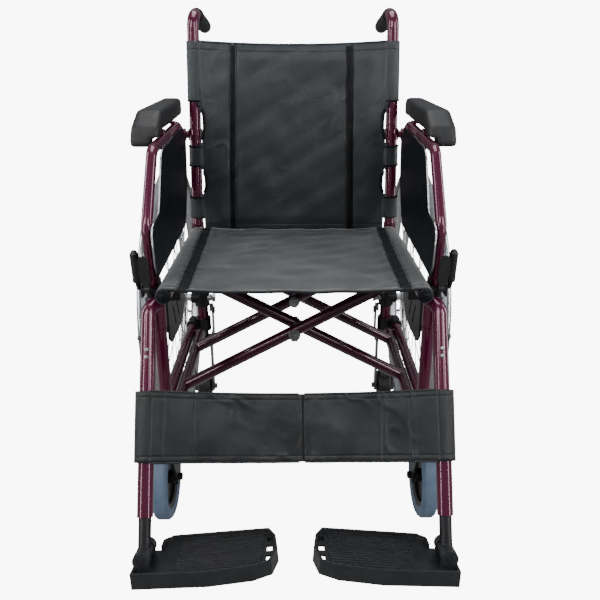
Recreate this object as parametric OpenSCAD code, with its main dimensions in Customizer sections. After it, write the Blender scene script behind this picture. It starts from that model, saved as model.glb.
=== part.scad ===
// Folding wheelchair with spoked rear wheels, flip-back arms and swing-away footrests.
// Millimetres. +Y points to the back of the chair, +X to the sitter's right as seen from
// the front, +Z up. The origin lies on the ground, under the middle of the whole chair.

/* [Seat] */
// Width over the seat cloth where it wraps the two seat rails
seat_w = 460; // [452:2:466]
// Front to back length of the seat cloth
seat_d = 412; // [404:2:414]
// Height of the seat cloth at its front edge
seat_h = 490; // [486:1:494]
// Height of the push handles
handle_h = 917; // [890:1:925]

/* [Frame] */
// Outside diameter of the side frame tubes
frame_d = 22; // [20:0.5:22]
// Outside diameter of the back canes and the seat rails
cane_d = 25; // [24:0.5:25]
// Outside diameter of the footrest hanger tubes
hanger_d = 25.4; // [25:0.1:26]
// Outside diameter of the armrest tubes
arm_d = 19; // [18:0.5:19]
// Lean of the back canes from upright, in degrees
recline = 8.2; // [6:0.1:9]

/* [Wheels] */
// Outside diameter of the rear tyres
wheel_d = 610; // [600:2:614]
// Width of the rear tyres
tyre_w = 30; // [26:1:31]
// Outside diameter of the front casters
caster_d = 160; // [150:2:162]
// Width of the front casters
caster_w = 32; // [28:1:33]
// Number of spokes in a rear wheel
spokes = 32; // [24:4:36]

/* [Footrests] */
// Height of the footplate hinge above the ground
foot_h = 120; // [116:1:128]
// Rise of the footplates towards the middle, in degrees
foot_rise = 5; // [3:0.5:6]
// Rise of the footplates towards their toe edge, in degrees
toe_rise = 15; // [12:1:17]
// Height of the calf strap along the hanger tubes
strap_h = 114; // [100:2:124]

/* [Hidden] */
$fn = 48;
fit = 0.05;               // radial clearance of a running fit
gap = 0.3;                // clearance between soft and hard surfaces
wall = 2;                 // tube wall
front_y = -238.6;          // front edge of the seat, from the middle of the chair

rail_x = seat_w / 2 - 15;
rail_z = seat_h - 15;     // rail axis at the front
rail_drop = 11;           // the rails fall by this much to the back
rail_front = 3;
rail_back = 406;
post_x = 231;             // front post
post_y = 30;
side_x = 239;             // upper and lower side rails
upper_z = 395;
lower_z = 238;
cane_x = 215;
cane_y = 425;
cane_top = [208.5, cane_y + (handle_h - rail_z) * tan(recline), handle_h];
grip_end = [200, cane_top[1] + 114, handle_h - 27];

axle_y = 420;
axle_z = wheel_d / 2;
wheel_x = 270;            // middle of a rear tyre
rim_r = wheel_d / 2 - 28;
flange_x = [258, 283];    // hub flanges
lace = 2.2;               // spokes that cross pass each other by this much
handrim_x = 297;
handrim_r = 259;

caster_x = 249;
stem_y = 20;
trail = 32;
caster_z = caster_d / 2;
crown_z = caster_d + 5;

legs_a = [127, 290];      // the two legs of brace A, measured from the seat front
legs_b = [163, 326];
brace_front = 52;
brace_back = 362;
leg_top = rail_z - rail_drop;       // the rails' rear end stays above the lower tube when folded
cross_z = (lower_z + leg_top) / 2;  // height of the crossing
pin_d = 12;
bolt_d = 10;

knee = [242, 8, 452];     // bend of the hanger tube
hanger_end = [237.7, -165, 167];
lean = (hanger_end - knee) / norm(hanger_end - knee);
leg_d = 20;
leg_reach = (hanger_end[2] - foot_h) / -lean[2];
hinge_x = hanger_end[0] + lean[0] * leg_reach;  // middle of the footplate hinge barrel
hinge_y = hanger_end[1] + lean[1] * leg_reach;

arm_x = 242.5;
arm_pivot = [arm_x, cane_y + (672 - rail_z) * tan(recline), 672];
guard_x = 232;
guard_t = 2.5;
pad_x = 264;

lock_pivot = [262, 112, 425];
shoe_pivot = [100, 392];
latch_pivot = [250, 26, 478];
socket_x = [230.2, 255.6];  // inner and outer faces of the arm socket
transit_x = 220;
transit_z = 68;
transit_r = 38;
transit_w = 30;

// ---------- helpers ----------

// Everything is drawn for the right side, measured from the seat's front edge.
module on_side(s) {
    translate([0, front_y, 0]) {
        if (s < 0) {
            mirror([1, 0, 0]) children();
        } else {
            children();
        }
    }
}

// Turns local +Z to the direction v, at the point p.
module aim(p, v) {
    translate(p)
        rotate([0, acos(v[2] / norm(v)), atan2(v[1], v[0])]) children();
}

// Round bar from p to q, longer by `over` at both ends.
module bar(p, q, d, over = 0) {
    v = q - p;
    aim(p, v) rotate([0, 0, 40]) translate([0, 0, -over]) cylinder(d = d, h = norm(v) + 2 * over);
}

// Cylinder along X between x0 and x1.
module x_cyl(x0, x1, y, z, d) {
    translate([x0, y, z]) rotate([0, 90, 0]) cylinder(d = d, h = x1 - x0);
}

// Cylinder along Y between y0 and y1.
module y_cyl(x, y0, y1, z, d) {
    translate([x, y0, z]) rotate([-90, 0, 0]) cylinder(d = d, h = y1 - y0);
}

// Flat plate with its outline in the Y-Z plane, from x0 to x1.
module x_plate(x0, x1) {
    multmatrix([[0, 0, 1, x0], [1, 0, 0, 0], [0, 1, 0, 0], [0, 0, 0, 1]])
        linear_extrude(x1 - x0) children();
}

function unit(v) = v / norm(v);
function turn(a, b, c) = acos(unit(b - a) * unit(c - b));
function trimmed(pts, r, i) = i <= 0 || i >= len(pts) - 1 ? 0
    : r * tan(turn(pts[i - 1], pts[i], pts[i + 1]) / 2);

// Bent round tube through pts with bends of radius r; the straights enter the bends by 1 mm.
module pipe(pts, r, d) {
    union() {
        for (i = [0 : len(pts) - 2]) {
            u = unit(pts[i + 1] - pts[i]);
            from = trimmed(pts, r, i);
            to = trimmed(pts, r, i + 1);
            bar(pts[i] + u * max(0, from - 1), pts[i + 1] - u * max(0, to - 1), d);
        }
        for (i = [1 : 1 : len(pts) - 2]) {
            bend(pts[i - 1], pts[i], pts[i + 1], r, d);
        }
    }
}

module bend(a, b, c, r, d) {
    u = unit(b - a);
    v = unit(c - b);
    n = unit(v - (u * v) * u);
    o = b - u * r * tan(turn(a, b, c) / 2) + n * r;
    w = cross(-n, u);
    multmatrix([[-n[0], u[0], w[0], o[0]], [-n[1], u[1], w[1], o[1]],
                [-n[2], u[2], w[2], o[2]], [0, 0, 0, 1]])
        rotate_extrude(angle = turn(a, b, c)) translate([r, 0]) circle(d = d + 0.2);
}

// Hexagon bolt head or nut on the X axis direction.
module hex_x(x0, x1, y, z, af) {
    translate([x0, y, z]) rotate([0, 90, 0]) cylinder(d = af / cos(30), h = x1 - x0, $fn = 6);
}

function rail_at(y) = rail_z - rail_drop * (y - rail_front) / (rail_back - rail_front);
function cane_at(z) = [cane_x + (cane_top[0] - cane_x) * (z - rail_z) / (handle_h - rail_z),
    cane_y + (z - rail_z) * tan(recline), z];

// ---------- fixed side frames ----------

module side_frame(s) on_side(s) color("#5a1428") {
    difference() {
        union() {
            translate([post_x, post_y, 178]) cylinder(d = frame_d, h = 228);
            y_cyl(side_x, post_y, cane_y - 4, upper_z, frame_d);
            y_cyl(side_x, post_y, cane_y - 4, lower_z, frame_d);
            translate([caster_x, stem_y, 178]) cylinder(d = 30, h = 56);
            for (y = [brace_front - 8, brace_back + 2]) {
                translate([rail_x, y, lower_z]) rotate([-90, 0, 0]) cylinder(d = 20, h = 5);
                translate([rail_x, y, lower_z - 7]) cube([side_x - rail_x, 5, 14]);
            }
        }
        translate([post_x, post_y, 360]) cylinder(d = 16 + 2 * fit, h = 60);
        translate([caster_x, stem_y, 170]) cylinder(d = pin_d + 2 * fit, h = 56);
        y_cyl(rail_x, brace_front - 12, brace_back + 12, lower_z, pin_d + 2 * fit);
        y_cyl(side_x, post_y + frame_d, cane_y + 1, upper_z, frame_d - 2 * wall);
        y_cyl(side_x, post_y + frame_d, cane_y + 1, lower_z, frame_d - 2 * wall);
    }
}

module back_cane(s) on_side(s) color("#5a1428") {
    foot = [cane_x, cane_y, 222];
    hip = [cane_x, cane_y, rail_z];
    difference() {
        union() {
            bar(foot, hip + [0, 0, 2], cane_d);
            translate(hip - [0, 0, 8]) cylinder(d = cane_d + 3, h = 16);
            pipe([hip, cane_top, grip_end], 30, cane_d);
            collar = cane_at(arm_pivot[2]);
            translate(collar - [0, 0, 11]) cylinder(d = cane_d + 6, h = 22);
            x_cyl(collar[0] + 8, arm_x - arm_d / 2 - gap, arm_pivot[1], arm_pivot[2], 16);
            x_cyl(collar[0] + 8, arm_x + arm_d / 2 + 4, arm_pivot[1], arm_pivot[2], 8);
        }
        translate([cane_x, cane_y, 215]) cylinder(d = cane_d - 2 * wall, h = 60);
        x_cyl(cane_x - 20, cane_x + 20, axle_y, axle_z, pin_d + 2 * fit);
    }
}

// Moulded push grip with an end flange and finger ribs.
module hand_grip(s) on_side(s) color("#26282a") {
    v = unit(grip_end - cane_top);
    start = cane_top + v * 34;
    long = norm(grip_end - start) + 6;
    difference() {
        aim(start, v) union() {
            cylinder(d = 33, h = 6);
            cylinder(d = 29, h = long);
            for (i = [1 : 5]) {
                translate([0, 0, i * long / 7]) cylinder(d = 31, h = 7);
            }
        }
        aim(start, v) translate([0, 0, -5]) cylinder(d = cane_d + 2 * fit, h = long - 1 + fit);
    }
}

// Cast clamps that join the rails and the wheel axle to the rear post.
module post_clamps(s) on_side(s) color("#1d1f21") {
    for (z = [lower_z, upper_z]) {
        difference() {
            union() {
                translate([cane_x, cane_y, z - 15]) cylinder(d = 35, h = 30);
                y_cyl(side_x, cane_y - 26, cane_y + 10, z, 28);
                translate([cane_x, cane_y - 12, z - 12]) cube([side_x - cane_x, 20, 24]);
            }
            translate([cane_x, cane_y, z - 20]) cylinder(d = cane_d + 2 * fit, h = 40);
            y_cyl(side_x, cane_y - 30, cane_y - 4 + fit, z, frame_d + 2 * fit);
        }
    }
    difference() {
        union() {
            translate([cane_x, cane_y, axle_z - 20]) cylinder(d = 34, h = 40);
            x_cyl(cane_x + 5, 238, axle_y, axle_z, 26);
        }
        translate([cane_x, cane_y, axle_z - 25]) cylinder(d = cane_d + 2 * fit, h = 50);
        x_cyl(cane_x - 25, 240, axle_y, axle_z, pin_d + 2 * fit);
    }
}

// Moulded guide on the upper rail: two cradles for the seat rail and a skirt below.
module seat_guide(s) on_side(s) color("#141517") {
    difference() {
        union() {
            x_plate(rail_x + 6, rail_x + 10) polygon([[60, 372], [78, 356], [150, 350], [196, 354],
                [226, 376], [240, 405], [240, 440], [60, 440]]);
            for (y = [70, 200]) {
                translate([rail_x - 15, y, 440]) cube([30, 26, rail_at(y + 13) - 438]);
                translate([rail_x + 6, y, 380]) cube([12, 26, 62]);
            }
        }
        for (y = [70, 200]) {
            z = rail_at(y + 13);
            y_cyl(rail_x, y - 5, y + 31, z, cane_d + 1.2);
            translate([rail_x - cane_d / 2 - 0.6, y - 5, z]) cube([cane_d + 1.2, 36, 30]);
        }
        y_cyl(side_x, 50, 250, upper_z, frame_d + 2 * gap);
        for (i = [0 : 1]) {
            translate([rail_x, 120 + i * 36, 372]) rotate([24, 0, 0]) cube([20, 7, 46]);
        }
    }
}

// Bracket on the upper rail that carries the arm socket, the arm latch and the wheel lock.
module front_bracket(s) on_side(s) color("#141517") {
    difference() {
        union() {
            x_plate(side_x + 8, side_x + 12) polygon([[54, 384], [124, 384], [124, 434], [96, 444],
                [84, 468], [54, 468], [54, 440]]);
            translate([socket_x[0], 44, 465.6]) cube([socket_x[1] - socket_x[0], 34, 5]);
            translate([socket_x[0], 44, 466]) cube([2.4, 24, 19]);
            translate([socket_x[1] - 3, 20, 465.6]) cube([3, 58, 20]);
            x_cyl(side_x + 9, lock_pivot[0] + 9, lock_pivot[1], lock_pivot[2], 8);
            x_cyl(side_x + 9, lock_pivot[0] + 9, shoe_pivot[0], shoe_pivot[1], 8);
            x_cyl(latch_pivot[0] - 4.5, socket_x[1], latch_pivot[1], latch_pivot[2], 5);
        }
        y_cyl(side_x, 40, 140, upper_z, frame_d + 2 * fit);
    }
}

module seat_rail_bar(d, over) {
    bar([rail_x, rail_front, rail_at(rail_front)], [rail_x, rail_back, rail_at(rail_back)], d, over);
}

// ---------- folding cross brace ----------

// One half of the brace: lower tube at low_side, two legs, seat rail on the other side.
module brace_half(low_side, legs) {
    difference() {
        union() {
            y_cyl(low_side * rail_x, brace_front, brace_back, lower_z, frame_d);
            y_cyl(low_side * rail_x, brace_front - 12, brace_back + 12, lower_z, pin_d);
            for (y = legs) {
                bar([low_side * rail_x, y, lower_z], [-low_side * rail_x, y, rail_at(y) - 0.6], frame_d);
            }
            if (low_side < 0) {
                seat_rail_bar(cane_d, 0);
            } else {
                mirror([1, 0, 0]) seat_rail_bar(cane_d, 0);
            }
        }
        for (y = legs) {
            y_cyl(0, y - 20, y + 20, cross_z, bolt_d + 2 * fit);
        }
    }
}

module brace_a() translate([0, front_y, 0]) color("#5a1428") brace_half(-1, legs_a);
module brace_b() translate([0, front_y, 0]) color("#5a1428") brace_half(1, legs_b);

// Two pivot bolts with nuts, washers and the spacers between the legs.
module brace_bolts() translate([0, front_y, 0]) color("#2a2c2e") {
    for (i = [0, 1]) {
        z = cross_z;
        y0 = legs_a[i] - frame_d / 2;
        y1 = legs_b[i] + frame_d / 2;
        y_cyl(0, y0 - 14, y1 + 10, z, bolt_d);
        y_cyl(0, y0 - 4, y0 - 1, z, 22);
        y_cyl(0, y1 + 1, y1 + 4, z, 22);
        y_cyl(0, y0 + frame_d + 1, y1 - frame_d - 1, z, 20);
        translate([0, y0 - 4, z]) rotate([90, 0, 0]) cylinder(d = 19, h = 8, $fn = 6);
        translate([0, y1 + 10, z]) rotate([90, 0, 0]) cylinder(d = 19, h = 6, $fn = 6);
    }
}

// ---------- soft goods ----------

module seat_sling() translate([0, front_y, 0]) color("#2c2f31") {
    slope = atan(rail_drop / (rail_back - rail_front));
    difference() {
        union() {
            translate([0, 0, rail_z]) rotate([-slope, 0, 0]) translate([-rail_x, 1.5, 10.3])
                cube([2 * rail_x, seat_d - 7, 4]);
            for (s = [-1, 1]) {
                translate([s * rail_x, 0, rail_z]) rotate([-slope, 0, 0])
                    rotate([-90, 0, 0]) translate([0, 0, 1]) cylinder(r = 14.6, h = seat_d - 6);
            }
        }
        for (s = [-1, 1]) {
            translate([s * rail_x, 0, rail_z]) rotate([-slope, 0, 0])
                rotate([-90, 0, 0]) translate([0, 0, -5]) cylinder(r = 13.4, h = seat_d + 10);
            for (y = [66, 196]) {
                translate([s * rail_x - 20, y, rail_z - 30]) cube([40, 34, 36]);
            }
            translate([s * rail_x, 0, rail_z]) rotate([-slope, 0, 0]) translate([-10 - s * 10, -5, -40])
                cube([20, seat_d + 10, 48]);
        }
    }
}

module back_sling() translate([0, front_y, 0]) color("#2c2f31") {
    low = cane_at(495);
    high = cane_at(858);
    difference() {
        union() {
            for (s = [-1, 1]) {
                bar([s * low[0], low[1], low[2]], [s * high[0], high[1], high[2]], cane_d + 5);
            }
            multmatrix([[1, 0, 0, 0], [0, 1, tan(recline), -tan(recline) * low[2]],
                        [0, 0, 1, 0], [0, 0, 0, 1]])
                translate([0.3 - low[0], low[1] - 13.2, low[2] + 1])
                    cube([2 * low[0] - 0.6, 5, high[2] - low[2] - 2]);
        }
        for (s = [-1, 1]) {
            bar([s * low[0], low[1], low[2]], [s * high[0], high[1], high[2]], cane_d + 1.2, 20);
            for (z = [648, 540]) {
                p = cane_at(z);
                translate([s * p[0] - 22, p[1] - 30, z]) cube([44, 60, z > 600 ? 94 : 68]);
            }
        }
    }
}

// Half of the calf strap: a sleeve round the hanger and a flat band in front of it.
module calf_strap(s) on_side(s) color("#232527") {
    top = knee + lean * 136;
    low = top + lean * strap_h;
    across = (top + low) / 2;
    tilt = acos(-lean[2]);
    difference() {
        union() {
            bar(top, low, hanger_d + 8);
            translate([2, across[1], across[2]]) rotate([-tilt, 0, 0])
                translate([0, -17.5, -strap_h / 2 + 0.5]) cube([across[0] - 2, 3, strap_h - 1]);
        }
        bar(top, low, hanger_d + 1.4, 20);
    }
}

// ---------- rear wheels ----------

module rear_axle(s) on_side(s) color("#c4c7ca") {
    x_cyl(196, 291, axle_y, axle_z, pin_d);
    x_cyl(238.5, 249.5, axle_y, axle_z, 17);
    x_cyl(291, 294, axle_y, axle_z, 20);
    hex_x(184, 189, axle_y, axle_z, 19);
    x_cyl(188, 197, axle_y, axle_z, 16);
}

module rear_hub(s) on_side(s) color("#9a9da1") {
    difference() {
        union() {
            x_cyl(250, 290, axle_y, axle_z, 26);
            for (x = flange_x) {
                x_cyl(x - 2.6, x + 2.6, axle_y, axle_z, 54);
            }
        }
        x_cyl(240, 292, axle_y, axle_z, pin_d + 2 * fit);
    }
}

// Tangential spokes: they leave the flange at an angle and cross their neighbours.
module rear_spokes(s) on_side(s) color("#d4d7da") {
    cross_angle = 52;
    for (i = [0 : spokes - 1]) {
        a = i * 360 / spokes;
        lean_way = floor(i / 2) % 2 == 0 ? 1 : -1;
        hub_a = a + lean_way * cross_angle;
        inner = i % 2 == 0;
        bar([flange_x[inner ? 0 : 1] + lean_way * lace,
             axle_y + 22 * cos(hub_a), axle_z + 22 * sin(hub_a)],
            [wheel_x + (inner ? -3 : 3), axle_y + (rim_r - 16) * cos(a),
             axle_z + (rim_r - 16) * sin(a)], 2);
    }
}

module wheel_ring() {
    translate([wheel_x, axle_y, axle_z]) rotate([0, 90, 0]) rotate_extrude($fn = 96) children();
}

module rear_rim(s) on_side(s) color("#b9bcc0") {
    wheel_ring() polygon([[rim_r - 20, -5], [rim_r - 20, 5], [rim_r - 12, 11], [rim_r + 2, 11],
        [rim_r + 2, 8.5], [rim_r - 8, 7.5], [rim_r - 8, -7.5], [rim_r + 2, -8.5],
        [rim_r + 2, -11], [rim_r - 12, -11]]);
}

module rear_tyre(s) on_side(s) color("#9ea2a6") {
    r = wheel_d / 2;
    w = tyre_w / 2;
    wheel_ring() polygon(concat([[rim_r - 7, -7], [rim_r - 7, 7], [rim_r + 4, 8]],
        [for (a = [-30 : 15 : 210]) [r - w + w * sin(a), w * cos(a)]],
        [[rim_r + 4, -8]]));
}

module handrim(s) on_side(s) color("#c9ccd0") {
    translate([handrim_x, axle_y, axle_z]) rotate([0, 90, 0])
        rotate_extrude($fn = 96) translate([handrim_r, 0]) circle(d = 16);
    for (i = [0 : 5]) {
        a = i * 60 + 30;
        bar([wheel_x + 7, axle_y + (rim_r - 14) * cos(a), axle_z + (rim_r - 14) * sin(a)],
            [handrim_x, axle_y + handrim_r * cos(a), axle_z + handrim_r * sin(a)], 7);
    }
}

// ---------- casters ----------

module caster_fork(s) on_side(s) color("#1b1d1f") {
    axle = stem_y + trail;
    inner = caster_w / 2 + 3;
    translate([caster_x, stem_y, crown_z]) cylinder(d = pin_d, h = 55);
    translate([caster_x, stem_y, crown_z]) cylinder(d = 34, h = 10);
    translate([caster_x - inner - 5, stem_y - 14, crown_z]) cube([2 * inner + 10, 40, 8]);
    for (side = [-1, 1]) {
        x = caster_x + side * (inner + 2.5);
        x_plate(x - 2.5, x + 2.5) polygon([[stem_y - 14, crown_z + 8], [stem_y + 26, crown_z + 8],
            [stem_y + 26, crown_z - 20], [axle + 14, caster_z + 8], [axle + 12, caster_z - 10],
            [axle, caster_z - 15], [axle - 12, caster_z - 10], [axle - 15, caster_z + 8],
            [stem_y - 14, crown_z - 12]]);
    }
    x_cyl(caster_x - inner - 5, caster_x + inner + 5, axle, caster_z, 8);
    hex_x(caster_x - inner - 12, caster_x - inner - 5, axle, caster_z, 13);
    hex_x(caster_x + inner + 5, caster_x + inner + 10, axle, caster_z, 13);
}

module caster_hub(s) on_side(s) color("#2a2c2f") {
    r = caster_z - 20;
    difference() {
        translate([caster_x, stem_y + trail, caster_z]) rotate([0, 90, 0]) union() {
            cylinder(d = 26, h = caster_w + 2, center = true);
            cylinder(r = r - 5, h = 7, center = true);
            rotate_extrude() polygon([[r - 9, -9], [r, -12], [r, 12], [r - 9, 9]]);
        }
        x_cyl(caster_x - 20, caster_x + 20, stem_y + trail, caster_z, 8 + 2 * fit);
        for (i = [0 : 4]) {
            a = i * 72;
            x_cyl(caster_x - 20, caster_x + 20, stem_y + trail + 32 * cos(a),
                caster_z + 32 * sin(a), 18);
        }
    }
}

module caster_tyre(s) on_side(s) color("#8f9fb8") {
    r = caster_z;
    w = caster_w / 2;
    translate([caster_x, stem_y + trail, caster_z]) rotate([0, 90, 0])
        rotate_extrude($fn = 96) polygon([[r - 20, -12], [r - 20, 12], [r - 8, w], [r - 3, w - 2.5],
            [r, w - 7], [r, 7 - w], [r - 3, 2.5 - w], [r - 8, -w]]);
}

// ---------- armrests ----------

module arm_tube(s) on_side(s) color("#5a1428") {
    foot = [arm_x, 60, 473];
    difference() {
        union() {
            pipe([foot, [arm_x, 46, 580], [arm_x, 138, 690], [arm_x, 400, 697], arm_pivot], 30, arm_d);
            x_cyl(arm_x - arm_d / 2, arm_x + arm_d / 2, arm_pivot[1], arm_pivot[2], 26);
            for (y = [240, 360]) {
                translate([arm_x - 4, y - 9, 688]) cube([8, 18, 22]);
                translate([arm_x - 4, y - 9, 707]) cube([26, 18, 4]);
            }
        }
        x_cyl(arm_x - 20, arm_x + 20, arm_pivot[1], arm_pivot[2], 8 + 2 * fit);
    }
}

// Moulded armpad: flat top, front end turned down, slightly narrower at the back.
module arm_pad(s) on_side(s) color("#1e1f21") {
    difference() {
        hull() {
            for (end = [[470, 21], [236, 25]]) {
                for (dx = [-1, 1]) {
                    translate([pad_x - 2 + dx * (end[1] - 9), end[0], 738]) sphere(r = 9, $fn = 24);
                    translate([pad_x - 2 + dx * (end[1] - 4), end[0], 715]) sphere(r = 4, $fn = 16);
                }
            }
            for (dx = [-1, 1]) {
                translate([pad_x + dx * 17, 196, 715]) sphere(r = 9, $fn = 24);
                translate([pad_x + dx * 22, 184, 692]) sphere(r = 5, $fn = 16);
                translate([pad_x + dx * 22, 215, 692]) sphere(r = 5, $fn = 16);
            }
        }
        translate([pad_x - 40, 214, 600]) cube([80, 300, 111 + gap]);
        translate([arm_x - 12, 140, 600]) cube([24, 80, 103]);
    }
}

// Thin side panel hung inside the arm tube.
module side_guard(s) on_side(s) color("#17181a") {
    x_plate(guard_x - guard_t, guard_x) polygon([[44, 492], [30, 520], [27, 572], [52, 586],
        [98, 592], [120, 630], [142, 664], [160, 682], [184, 688], [380, 694], [428, 668], [424, 640],
        [412, 580], [372, 520], [350, 498]]);
    for (y = [180, 340]) {
        x_cyl(guard_x - 1, arm_x - arm_d / 2 + 2, y, 685, 6);
    }
}

// Flat paddle that frees the front end of the arm.
module arm_latch(s) on_side(s) color("#202224") {
    p = latch_pivot;
    difference() {
        union() {
            x_cyl(p[0] - 9, p[0] + 2, p[1], p[2], 12);
            translate([p[0] - 9, p[1] - 4, p[2]]) cube([11, 5, 16]);
            translate([p[0] - 11.5, p[1] - 4, p[2] + 11]) rotate([8, 0, 0]) {
                cube([17, 4.5, 41]);
                translate([8.5, 0.2, 41]) rotate([-90, 0, 0]) cylinder(d = 17.5, h = 4.1);
            }
        }
        x_cyl(p[0] - 5, p[0] + 20, p[1], p[2], 5 + 2 * fit);
    }
}

// ---------- wheel locks ----------

module lock_lever(s) on_side(s) color("#1a1b1d") {
    p = lock_pivot;
    difference() {
        union() {
            x_cyl(p[0] - 3, p[0] + 5, p[1], p[2], 20);
            pipe([[p[0] + 1, p[1] - 2, p[2] + 6.5], [p[0] + 1, 98, 462], [p[0] + 7, 60, 466],
                  [p[0] + 8, 60, 500]], 10, 8);
            bar([p[0] + 7.5, 60, 479], [p[0] + 9, 60, 530], 15.5);
            translate([p[0] + 9, 60, 529.6]) cylinder(d1 = 15.1, d2 = 8, h = 6);
        }
        x_cyl(p[0] - 20, p[0] + 20, p[1], p[2], 8 + 2 * fit);
    }
}

module lock_shoe(s) on_side(s) color("#3a3c3f") {
    x = lock_pivot[0];
    difference() {
        union() {
            x_cyl(x - 3, x + 5, shoe_pivot[0], shoe_pivot[1], 18);
            x_plate(x - 3, x + 2) polygon([[92, 392], [108, 392], [104, 350], [92, 350]]);
            x_cyl(x - 8, x + 27, 98, 355, 9);
        }
        x_cyl(x - 20, x + 20, shoe_pivot[0], shoe_pivot[1], 8 + 2 * fit);
    }
}

// ---------- footrests ----------

module hanger(s) on_side(s) color("#6a1830") {
    difference() {
        union() {
            pipe([[post_x, post_y, knee[2]], knee, hanger_end], 20, hanger_d);
            translate([post_x, post_y, 372]) cylinder(d = 16, h = 80);
            translate([post_x, post_y, 408]) cylinder(d = 24, h = 52);
        }
        bar(hanger_end - lean * 150, hanger_end + lean, leg_d + 2 * fit);
    }
}

// Puts children into the frame of the footplate hinge, with its barrel along local Y.
module hinge_frame() {
    translate([hinge_x, hinge_y, foot_h]) rotate([-toe_rise, 0, 0]) children();
}

module leg_tube(s) on_side(s) color("#161719") {
    bar(hanger_end - lean * 90, [hinge_x, hinge_y, foot_h], leg_d);
    hinge_frame() {
        y_cyl(0, -11, 11, 0, 26);
        y_cyl(0, -27, 27, 0, pin_d);
    }
}

// Footplate outline, seen from above, from the hinge (x = 0) to the middle of the chair.
module foot_outline(inset) {
    polygon([[18 - inset, -46 + inset], [-100, -57 + inset], [-168, -52 + inset],
        [-197 + inset, -38], [-206 + inset, 0], [-202 + inset, 40],
        [-190 + inset, 66 - inset], [-30, 70 - inset], [-14 - inset, 58],
        [-14 - inset, 34], [18 - inset, 34]]);
}

module footplate(s) on_side(s) color("#1f2224") hinge_frame() rotate([0, foot_rise, 0]) {
    plate_at = [-2, 8.4, 0.6];
    difference() {
        union() {
            translate(plate_at) difference() {
                translate([0, 0, -38]) linear_extrude(25) foot_outline(0);
                translate([0, 0, -19]) linear_extrude(20) foot_outline(4);
                translate([0, 0, -45]) linear_extrude(22) foot_outline(5);
            }
            translate(plate_at) for (i = [1 : 13]) {
                translate([-182, -48 + i * 7.5, -21]) cube([136, 3, 4]);
            }
            translate(plate_at) for (i = [0 : 3]) {
                translate([-170 + i * 45, -49, -36]) cube([3, 115, 15]);
            }
            for (y = [-26, 15.5]) {
                y_cyl(0, y, y + 14, 0, 27);
                translate([-11, y + 0.5, -21]) cube([22, 13, 18]);
            }
        }
        for (i = [0 : 2]) {
            translate(plate_at + [-197, -30 + i * 30, -50]) cube([9, 18, 60]);
        }
        y_cyl(0, -32, 32, 0, pin_d + 2 * fit);
        y_cyl(0, -12, 15.5, 0, 29);
    }
}

// ---------- rear fittings ----------

// Plug-in fork under the rear post, with the catch that holds it on the inner side.
module transit_arm(s) on_side(s) color("#55585b") {
    x = transit_x;
    half = transit_w / 2 + 4;
    difference() {
        union() {
            translate([cane_x, cane_y, 200]) cylinder(d = cane_d - 2 * wall - 2 * fit, h = 64);
            translate([x - half - 4, 411, 198]) cube([2 * half + 8, 28, 6]);
            for (side = [-1, 1]) {
                x_plate(x + side * (half + 2) - 2, x + side * (half + 2) + 2) polygon([[414, 203],
                    [436, 203], [439, transit_z + 4], [434, transit_z - 9], [425, transit_z - 13],
                    [416, transit_z - 9], [411, transit_z + 4]]);
            }
            x_plate(x - half - 10, x - half - 3) polygon([[408, 198], [442, 198], [440, 274],
                [434, 285], [425, 288], [416, 285], [410, 274]]);
            x_cyl(x - half - 9, x + half + 9, cane_y, transit_z, 8);
            hex_x(x - half - 10, x - half - 4, cane_y, transit_z, 13);
            hex_x(x + half + 4, x + half + 9, cane_y, transit_z, 13);
            x_cyl(x - half - 14, x - half - 9, cane_y, 272, 16);
        }
        translate([x - half - 8, 400, 212]) cube([10, 50, 62]);
    }
}

module transit_wheel(s) on_side(s) color("#18191b") {
    r = transit_r;
    w = transit_w / 2;
    difference() {
        translate([transit_x, cane_y, transit_z]) rotate([0, 90, 0]) union() {
            cylinder(d = 24, h = 2 * w + 4, center = true);
            rotate_extrude() polygon([[4, -7], [4, 7], [r - 12, 7], [r - 10, w], [r - 4, w],
                [r, w - 4], [r, 4 - w], [r - 4, -w], [r - 10, -w], [r - 12, -7]]);
        }
        x_cyl(transit_x - 30, transit_x + 30, cane_y, transit_z, 8 + 2 * fit);
    }
}

side_frame(-1);  // side_frame_left
side_frame(1);  // side_frame_right
back_cane(-1);  // back_cane_left
back_cane(1);  // back_cane_right
hand_grip(-1);  // hand_grip_left
hand_grip(1);  // hand_grip_right
post_clamps(-1);  // post_clamps_left
post_clamps(1);  // post_clamps_right
seat_guide(-1);  // seat_guide_left
seat_guide(1);  // seat_guide_right
front_bracket(-1);  // front_bracket_left
front_bracket(1);  // front_bracket_right
brace_a();
brace_b();
brace_bolts();
seat_sling();
back_sling();
rear_axle(-1);  // rear_axle_left
rear_axle(1);  // rear_axle_right
rear_hub(-1);  // rear_hub_left
rear_hub(1);  // rear_hub_right
rear_spokes(-1);  // rear_spokes_left
rear_spokes(1);  // rear_spokes_right
rear_rim(-1);  // rear_rim_left
rear_rim(1);  // rear_rim_right
rear_tyre(-1);  // rear_tyre_left
rear_tyre(1);  // rear_tyre_right
handrim(-1);  // handrim_left
handrim(1);  // handrim_right
caster_fork(-1);  // caster_fork_left
caster_fork(1);  // caster_fork_right
caster_hub(-1);  // caster_hub_left
caster_hub(1);  // caster_hub_right
caster_tyre(-1);  // caster_tyre_left
caster_tyre(1);  // caster_tyre_right
arm_tube(-1);  // arm_tube_left
arm_tube(1);  // arm_tube_right
arm_pad(-1);  // arm_pad_left
arm_pad(1);  // arm_pad_right
side_guard(-1);  // side_guard_left
side_guard(1);  // side_guard_right
arm_latch(-1);  // arm_latch_left
arm_latch(1);  // arm_latch_right
lock_lever(-1);  // lock_lever_left
lock_lever(1);  // lock_lever_right
lock_shoe(-1);  // lock_shoe_left
lock_shoe(1);  // lock_shoe_right
hanger(-1);  // hanger_left
hanger(1);  // hanger_right
leg_tube(-1);  // leg_tube_left
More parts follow.
